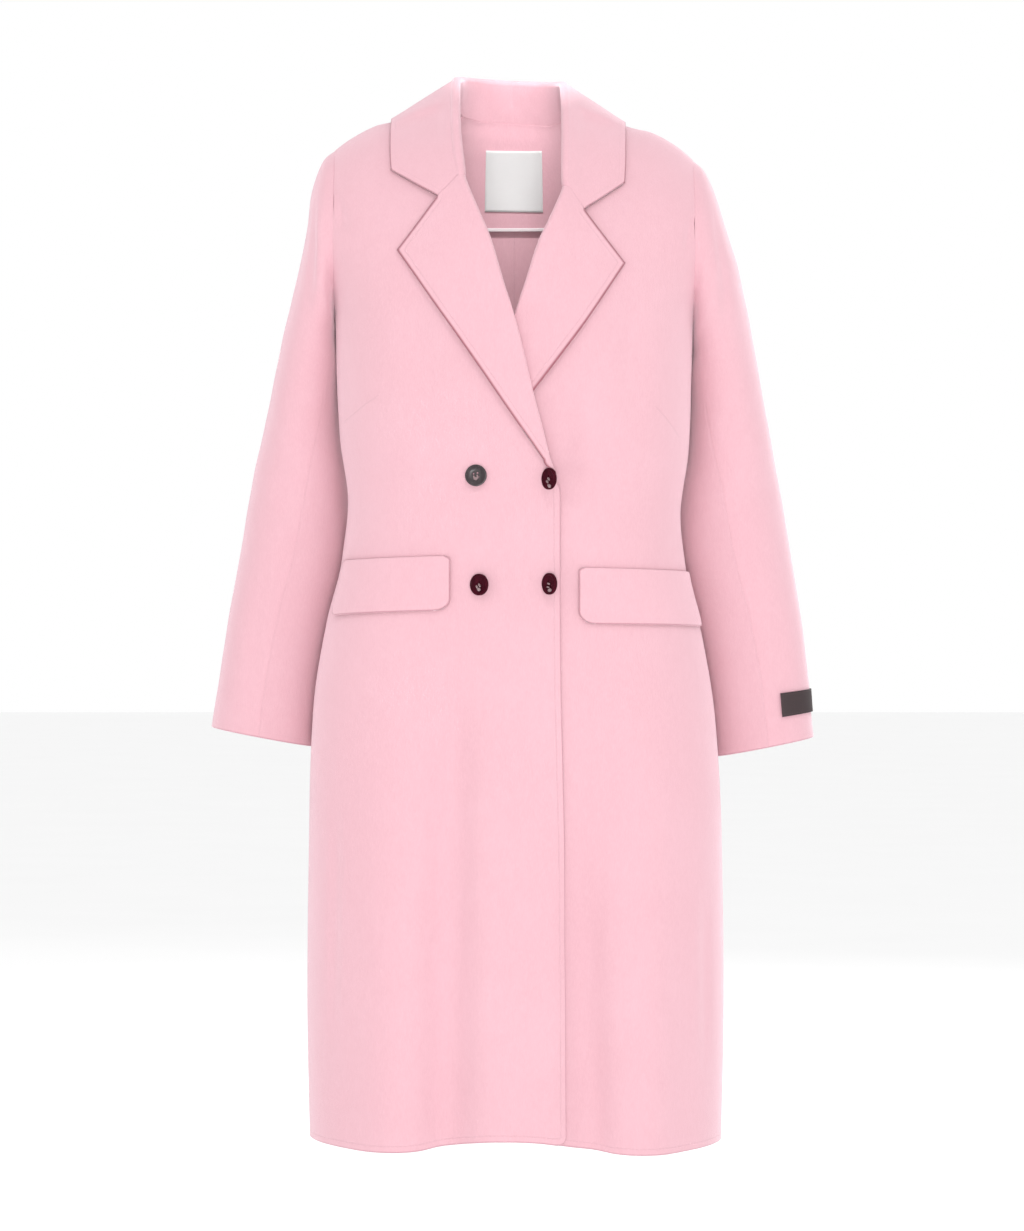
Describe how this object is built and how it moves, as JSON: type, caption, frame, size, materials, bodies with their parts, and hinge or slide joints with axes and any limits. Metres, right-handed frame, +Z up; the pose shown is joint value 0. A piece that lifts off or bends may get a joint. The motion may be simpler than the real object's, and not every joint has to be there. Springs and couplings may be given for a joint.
{
  "type": "double-breasted coat",
  "caption": "Knee-length double-breasted coat in soft pink wool with a notched lapel, pocket flaps and long sleeves, filled out as if worn.",
  "frame": {"origin": "middle of the body at the base of the neck, where the coat rests on the wearer's shoulders", "axes": "+Z up, the front faces -Y, +X towards the wearer's left"},
  "size_m": [0.6483, 0.2722, 1.1388],
  "materials": {
    "front_right": "soft brushed double-face wool, pale pink",
    "front_left": "soft brushed double-face wool, pale pink",
    "back_right": "soft brushed double-face wool, pale pink",
    "back_left": "soft brushed double-face wool, pale pink",
    "sleeve_top_right": "soft brushed double-face wool, pale pink",
    "sleeve_top_left": "soft brushed double-face wool, pale pink",
    "sleeve_under_right": "soft brushed double-face wool, pale pink",
    "sleeve_under_left": "soft brushed double-face wool, pale pink",
    "collar": "soft brushed double-face wool, pale pink",
    "back_neck_facing": "soft brushed double-face wool, pale pink",
    "flap_right": "soft brushed double-face wool, pale pink",
    "flap_left": "soft brushed double-face wool, pale pink",
    "button_upper_right": "polished dark burgundy-brown four-hole button",
    "button_lower_right": "polished dark burgundy-brown four-hole button",
    "button_upper_left": "polished dark burgundy-brown four-hole button",
    "button_lower_left": "polished dark burgundy-brown four-hole button",
    "neck_label": "white satin, blank",
    "cuff_label": "dark woven tape, blank"
  },
  "bodies": {
    "root": {"front_right": "front_right", "front_left": "front_left", "back_right": "back_right", "back_left": "back_left", "sleeve_top_right": "sleeve_top_right", "sleeve_top_left": "sleeve_top_left", "sleeve_under_right": "sleeve_under_right", "sleeve_under_left": "sleeve_under_left", "collar": "collar", "back_neck_facing": "back_neck_facing", "flap_right": "flap_right", "flap_left": "flap_left", "button_upper_right": "button_upper_right", "button_lower_right": "button_lower_right", "button_upper_left": "button_upper_left", "button_lower_left": "button_lower_left", "neck_label": "neck_label", "cuff_label": "cuff_label"}
  },
  "joints": []
}
